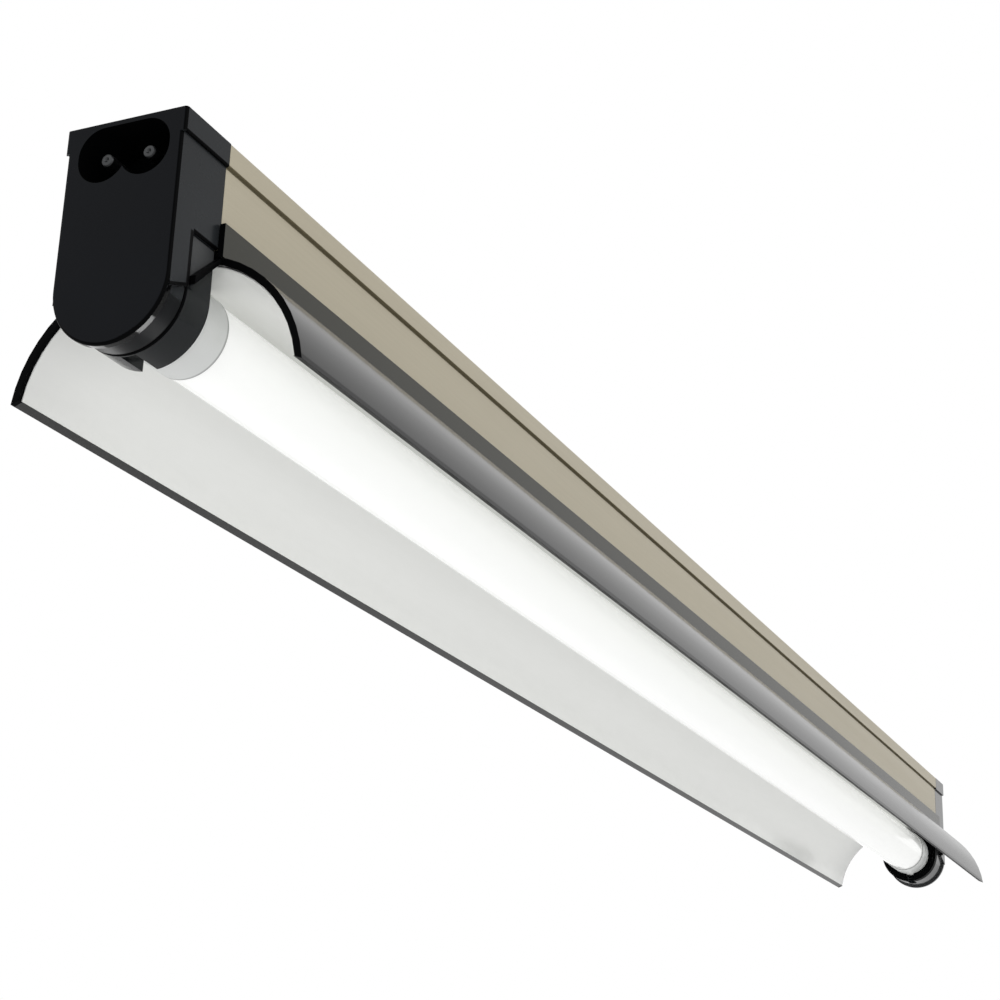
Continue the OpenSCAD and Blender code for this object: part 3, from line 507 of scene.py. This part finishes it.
# Which finish a face gets. Roundings lean away from an axis by a little, and a face
# whose middle lies within ON of a plane lies on it.
ON = 0.02
LEAN = 0.05


def inward(at):
    """How far a place is from the outer face of the nearer end."""
    return HALF_L - abs(at.x)


def above(at, x0, z0, rise):
    """How far a place is above the slanting line that starts at x0 and z0."""
    return at.z - z0 - (inward(at) - x0) * rise


def cap_faces(at, normal):
    """1: painted shade in the recess, on the roundings, the ledge's front and in lines on the
    cap's side, 2: painted shade on the front plate's face, 3: painted shade on its rim,
    4: painted shade on the ring that carries the lampholder."""
    x, y = inward(at), abs(at.y)
    if x < ON and abs(normal.x) > 0.97:
        return 2
    if y < RECESS_Y and RECESS_LOW < at.z < RECESS_HIGH and x < RECESS_X:
        return 1
    if x < EDGE_R - ON:
        return 1 if abs(normal.x) > LEAN else None
    by_ledge = LEDGE_Z - 0.1 < at.z
    if x < PLATE_T + 0.1 and y > SIDE_Y - 0.4 and by_ledge and at.z < AXIS_Z - 0.3:
        return 1
    if x < PLATE_T + ON and at.z < AXIS_Z and abs(normal.x) < LEAN:
        return 3
    if at.z < AXIS_Z - 3 and abs(normal.x) < LEAN:
        return 4
    if (abs(y - SIDE_Y) < ON and by_ledge and at.z < BODY_Z
            and (x > REAR_X or above(at, LEDGE_X, LEDGE_Z, LEDGE_RISE) < LINE_W)):
        return 1
    return None


def link_cap_faces(at, normal):
    """1: painted shade on the roundings, 2: painted shade on the end face, 3: painted light on
    the sides and the ring's rounded bottom.
    """
    on_side = abs(at.y) > SIDE_Y - 0.1
    if abs(normal.y) > 0.9 and on_side or at.z < AXIS_Z and normal.x < 0.9:
        return 3
    finish = cap_faces(at, normal)
    return finish if finish in (1, 2) and not on_side else None


def holder_faces(at, normal):
    """2: painted light on the flat sides of the lampholder above the reflector's hooks."""
    return 2 if abs(normal.y) > 0.9 and above(at, HOOK_X, HOOK_Z, HOOK_RISE) > 0 else None


def far_holder_faces(at, normal):
    """1: painted shade on the lampholder's mouth and the side by it, 2: painted light on the
    side behind.
    """
    if inward(at) > MOUTH_X:
        return 1
    return 2 if abs(normal.x) < 0.3 else None


def housing_faces(at, normal):
    """1: painted shade on the lower ends of the housing, beyond the clip walls."""
    return 1 if abs(at.x) > SHELL_END - 0.3 and at.z < CLIP_Z - 0.1 else None


def shell_faces(at, normal):
    """1: painted shade on the reflector's cut ends, hooks, bare borders and right lip, 2:
    painted
    light and shade on the left lip, 3: painted light on the clip walls, 4: painted shade in
    the band along the outside of the lips."""
    to_axis = normal.y * at.y < 0 and at.z < TROUGH_Z
    if (abs(normal.x) > 0.9 or (abs(at.x) > SHELL_END + 0.2 and at.z < WEB_Z - 0.05)
            or (abs(at.x) > FILM_END and to_axis)):
        return 1
    if normal.z < -0.5 and at.z < BORDER_Z:
        return 2 if at.y > 0 else 1
    if at.z < BAND_Z and not to_axis:
        return 4
    if abs(normal.y) > 0.9 and at.z > WEB_Z:
        return 3
    return None


def off_axis(at):
    return math.hypot(at.y, at.z - AXIS_Z)


def wide_on_cap(at):
    """The edges under the flange, over the lampholder, and at the ring's rear."""
    x, y = inward(at), abs(at.y)
    return ((abs(at.z - FLANGE_Z) < ON and abs(y - RAIL_Y) < ON)
            or (abs(y - SIDE_Y) < ON and x > HOLDER_X - 0.1 and abs(at.z - BODY_Z) < ON)
            or (abs(x - HOLDER_X) < ON and off_axis(at) > HOLDER_R - 0.1
                and at.z < AXIS_Z))


def wide_on_holder(at):
    """The outer edge of the lampholder where it leaves the cap's ring."""
    return (abs(inward(at) - HOLDER_X) < ON and at.z < BODY_Z - 0.1
            and (abs(abs(at.y) - HOLDER_R) < ON or off_axis(at) > HOLDER_R - 0.1))


def lip_slope(at):
    """The underside of each lip slants up and inward, to the film's edge."""
    if at.z < BORDER_Z + 0.01 and abs(at.y) < LIP_Y - 1.5:
        return Vector((at.x, math.copysign(BORDER_Y, at.y), BORDER_Z))
    return at


def lathe_x(bm, profile, steps, y=0.0, z=AXIS_Z, side=-1, dent=None, closed=True):
    """Turns a profile of (x from the outer face, radius) about a line along X, at the
    near end for side -1 and at the far end for side 1."""
    rings = []
    for x, r in profile:
        ring = []
        for k in range(steps):
            a = 2 * math.pi * k / steps
            reach = r - (dent(x, r, a) if dent else 0.0)
            ring.append(bm.verts.new((side * (HALF_L - x) * MM,
                                      (y + reach * math.cos(a)) * MM,
                                      (z + reach * math.sin(a)) * MM)))
        rings.append(ring)
    pairs = list(zip(rings, rings[1:])) + ([(rings[-1], rings[0])] if closed else [])
    for a, b in pairs:
        for k in range(steps):
            bm.faces.new((a[k], a[(k + 1) % steps], b[(k + 1) % steps], b[k]))
    return rings


def arc(cx, cr, r, start, end, steps=6):
    """Profile points round (cx, cr), from one angle to the other, in degrees."""
    return [(cx + r * math.cos(math.radians(start + (end - start) * i / steps)),
             cr + r * math.sin(math.radians(start + (end - start) * i / steps)))
            for i in range(steps + 1)]


ACROSS = (1, 0, 0)


def across_at(*places):
    """Cuts across the light."""
    return [((x, 0, 0), ACROSS) for x in places]


# The sort functions give faces painted shade and painted light, from the copies of the blacks
rounded("housing_channel", "housing", "housing", 0.22, [shading_black], 0, housing_faces,
        cuts=across_at(0.3 - SHELL_END, SHELL_END - 0.3))
inlet_cap = rounded(
    "inlet_end_cap", "cap", "housing", 0.2,
    [shading_black, shaded_plate_black, shaded_rim_black, shaded_ring_black], 1, cap_faces, wide_on_cap,
    across_at(REAR_X - HALF_L)
    + [((0, 0, BODY_Z), (0, 0, 1)),
       ((LEDGE_X - HALF_L, 0, LEDGE_Z + LINE_W), (-LEDGE_RISE, 0, 1))])
rounded("link_end_cap", "cap", "housing", 0.2, [shading_black, shaded_plate_black, lit_far_black], 0,
        link_cap_faces)
rounded("near_lampholder", "holder", "housing", 0.25, [shading_black, lit_side_black], 1,
        holder_faces, wide_on_holder, [((HOOK_X - HALF_L, 0, HOOK_Z), (-HOOK_RISE, 0, 1))])
rounded("far_lampholder", "holder", "housing", 0.25, [shading_black, lit_far_black], 1,
        far_holder_faces, cuts=across_at(HALF_L - MOUTH_X))
rounded("reflector_shell", "reflector", "housing", 0.10,
        [shading_black, painted_lip_black, lit_clip_black, shaded_band_black], 1, shell_faces,
        cuts=across_at(0.1 - FILM_END, FILM_END - 0.1) + [((0, 0, BAND_Z), (0, 0, 1))],
        move=lip_slope)
for node, body in (("near_rotor", "near_rotor"), ("far_rotor", "far_rotor")):
    rounded(node, "rotor", body, 0.2)

# Lamp bases: a drawn shell with a bead near the disc, four punch marks that lock it
# to the glass, and a rolled edge
CORNER_R, SEAM, CURL_R = 0.8, 0.45, 0.14
BEAD_X = 17.3
BEAD = ((-0.5, 0.0), (-0.3, 0.12), (0.0, 0.18), (0.3, 0.12), (0.5, 0.0))
MARK_X, MARK_R, MARK_DEPTH, MARK_TURN = 22.6, 0.75, 0.22, math.radians(15)
QUARTER = math.pi / 2


def punch_marks(x, r, a):
    """How deep the four marks dent the shell at a place on its outside."""
    if r < BASE_R - 0.15:
        return 0.0
    off = (a - MARK_TURN) % QUARTER
    off = min(off, QUARTER - off) * BASE_R
    return MARK_DEPTH * math.exp(-((x - MARK_X) ** 2 + off ** 2) / MARK_R ** 2)


for end, side in (("near", -1), ("far", 1)):
    rows_by_marks = [BASE_X1 - 3.4 + 0.25 * i for i in range(12)]
    profile = ([(BASE_X0, WINDOW_R)]
               + arc(BASE_X0 + CORNER_R, BASE_R - CORNER_R, CORNER_R, 180, 90)
               + [(BEAD_X + x, BASE_R - dip) for x, dip in BEAD]
               + [(x, BASE_R) for x in rows_by_marks]
               + arc(BASE_X1 - CURL_R, BASE_R - CURL_R, CURL_R, 90, -90)[1:]
               + [(BASE_X1 - 0.5, GLASS_R), (BASE_X0 + SEAM, GLASS_R),
                  (BASE_X0 + SEAM, WINDOW_R)])
    bm = bmesh.new()
    lathe_x(bm, profile, side=side, steps=144, dent=punch_marks)
    finish_mesh(bm, end + "_drawn_base", "lamp_base", "lamp", [end + "_lamp_base"])

# Inlet pins: nickelled rods with a small dimple from turning and a chamfered tip
TIP = ((0.45, 0.02), (0.40, 0.18), (0.16, 0.36), (0.0, 0.50), (0.0, 0.80), (0.1, 1.04),
       (0.35, PIN_R))
CHAMFER = 0.2
bm = bmesh.new()
for y in (-INLET_Y, INLET_Y):
    rings = lathe_x(bm, [(TIP_X + x, r) for x, r in TIP]
                    + [(COLLAR_X, PIN_R), (COLLAR_X, COLLAR_R), (TAIL_X, COLLAR_R),
                       (TAIL_X, TAIL_R), (PIN_END_X - CHAMFER, TAIL_R),
                       (PIN_END_X, TAIL_R - CHAMFER)],
                    y=y, z=INLET_Z, steps=40, closed=False)
    bm.faces.new(rings[0])
    bm.faces.new(rings[-1])
finish_mesh(bm, "turned_inlet_pins", "inlet_pin", "housing", ["inlet_pins"])


# Floor, lights and camera

FLOOR_Z, FLOOR_HALF = -0.34, 60.0
floor_mesh = bpy.data.meshes.new("floor")
bm = bmesh.new()
bmesh.ops.create_grid(bm, x_segments=8, y_segments=8, size=FLOOR_HALF)
bm.to_mesh(floor_mesh)
bm.free()
floor = bpy.data.objects.new("floor", floor_mesh)
floor.location = (0, 0, FLOOR_Z)
bpy.context.collection.objects.link(floor)
floor_white = surface("floor_white", (0.86, 0.86, 0.86), 0.7, 0.01, grain=40)
floor_mesh.materials.append(floor_white)

# The underside of the floor doesn't hide the part from a camera below it
ft = floor_white.node_tree
behind = maths(ft, "MULTIPLY", ft.nodes.new("ShaderNodeNewGeometry").outputs["Backfacing"],
               ft.nodes.new("ShaderNodeLightPath").outputs["Is Camera Ray"])
clear = ft.nodes.new("ShaderNodeMixShader")
ft.links.new(behind, clear.inputs[0])
ft.links.new(ft.nodes["Principled BSDF"].outputs[0], clear.inputs[1])
ft.links.new(ft.nodes.new("ShaderNodeBsdfTransparent").outputs[0], clear.inputs[2])
ft.links.new(clear.outputs[0], ft.nodes["Material Output"].inputs["Surface"])

# The studio: the background is white, and lights dull surfaces a little less than that
DULL_LIGHT, WHITE = 0.88, 1.0
world = bpy.data.worlds.new("studio")
bpy.context.scene.world = world
world.use_nodes = True
wt = world.node_tree
wt.nodes.clear()
path = wt.nodes.new("ShaderNodeLightPath")
seen = maths(wt, "MAXIMUM", path.outputs["Is Camera Ray"],
             maths(wt, "MAXIMUM", path.outputs["Is Glossy Ray"],
                   path.outputs["Is Transmission Ray"]))
mix = wt.nodes.new("ShaderNodeMixShader")
wt.links.new(seen, mix.inputs[0])
for index, strength in ((1, DULL_LIGHT), (2, WHITE)):
    light = wt.nodes.new("ShaderNodeBackground")
    light.inputs["Color"].default_value = (1, 1, 1, 1)
    light.inputs["Strength"].default_value = strength
    wt.links.new(light.outputs[0], mix.inputs[index])
wt.links.new(mix.outputs[0], wt.nodes.new("ShaderNodeOutputWorld").inputs["Surface"])


def area_light(name, place, target, size, power, glossy=True, along=(1, 0, 0)):
    """A soft rectangular light; the first of its sizes runs along the given direction."""
    data = bpy.data.lights.new(name, "AREA")
    data.shape = "RECTANGLE"
    data.size, data.size_y = size
    data.energy = power
    obj = bpy.data.objects.new(name, data)
    z = (Vector(place) - Vector(target)).normalized()
    y = z.cross(Vector(along)).normalized()
    obj.matrix_world = (Matrix.Translation(place)
                        @ Matrix((y.cross(z), y, z)).transposed().to_4x4())
    obj.visible_camera = False
    obj.visible_glossy = glossy
    bpy.context.collection.objects.link(obj)
    return obj


area_light("key", (-0.7, -1.5, 0.8), (0, 0, 0), size=(1.2, 0.9), power=4.2)

# Two low fills light the part's underside and leave the floor beside them plain
part_only = bpy.data.collections.new("part_only")
for obj in bpy.data.objects:
    if obj.type == "MESH" and obj != floor:
        part_only.objects.link(obj)
for fill in (area_light("fill_left", (0.0, 0.30, -0.32), (0.0, 0, -0.03),
                        size=(1.0, 0.2), power=0.9, glossy=False),
             area_light("fill_front", (-0.85, -0.40, -0.28), (-0.2, 0, -0.03),
                        size=(0.5, 0.3), power=1.15, glossy=False)):
    fill.light_linking.receiver_collection = part_only

# Two reflecting cards that only the inlet cap mirrors: a streak on the plate's rim, and
# the paler underside of the ring
only_cap = bpy.data.collections.new("inlet_cap_only")
only_cap.objects.link(inlet_cap)
for card in (area_light("rim_card", (-0.067, -0.100, -0.220), (-0.288, -0.0075, -0.0395),
                        size=(0.14, 0.02), power=0.11, along=(0, -0.88, 0.47)),
             area_light("ring_card", (0.155, 0.397, -0.140), (-0.285, 0.002, -0.0416),
                        size=(0.15, 0.28), power=0.26, along=(0.5, -0.5, 0))):
    card.visible_diffuse = False
    card.light_linking.receiver_collection = only_cap

# The camera stands at the near end, below and beside the light, and looks up along it.
# Place, turn and focal length are a least-squares fit to the photograph.
YAW, PITCH, ROLL = 0.435509, 0.345549, 0.033854
CAMERA_AT = (-0.533597, -0.186904, -0.175526)
FOCAL_PIXELS, PICTURE_PIXELS, SENSOR_MM = 1992.05, 1000.0, 36.0
ahead = Vector((math.cos(PITCH) * math.cos(YAW), math.cos(PITCH) * math.sin(YAW),
                math.sin(PITCH)))
level = Vector((math.sin(YAW), -math.cos(YAW), 0))
upright = level.cross(ahead)
right = math.cos(ROLL) * level + math.sin(ROLL) * upright
top = -math.sin(ROLL) * level + math.cos(ROLL) * upright
cam_data = bpy.data.cameras.new("camera")
cam_data.sensor_width = SENSOR_MM
cam_data.lens = FOCAL_PIXELS * SENSOR_MM / PICTURE_PIXELS
cam_data.clip_start = 0.01
camera = bpy.data.objects.new("camera", cam_data)
camera.matrix_world = Matrix.Translation(CAMERA_AT) @ Matrix(
    (right, top, -ahead)).transposed().to_4x4()
bpy.context.collection.objects.link(camera)
bpy.context.scene.camera = camera
bpy.context.scene.view_settings.view_transform = "Standard"
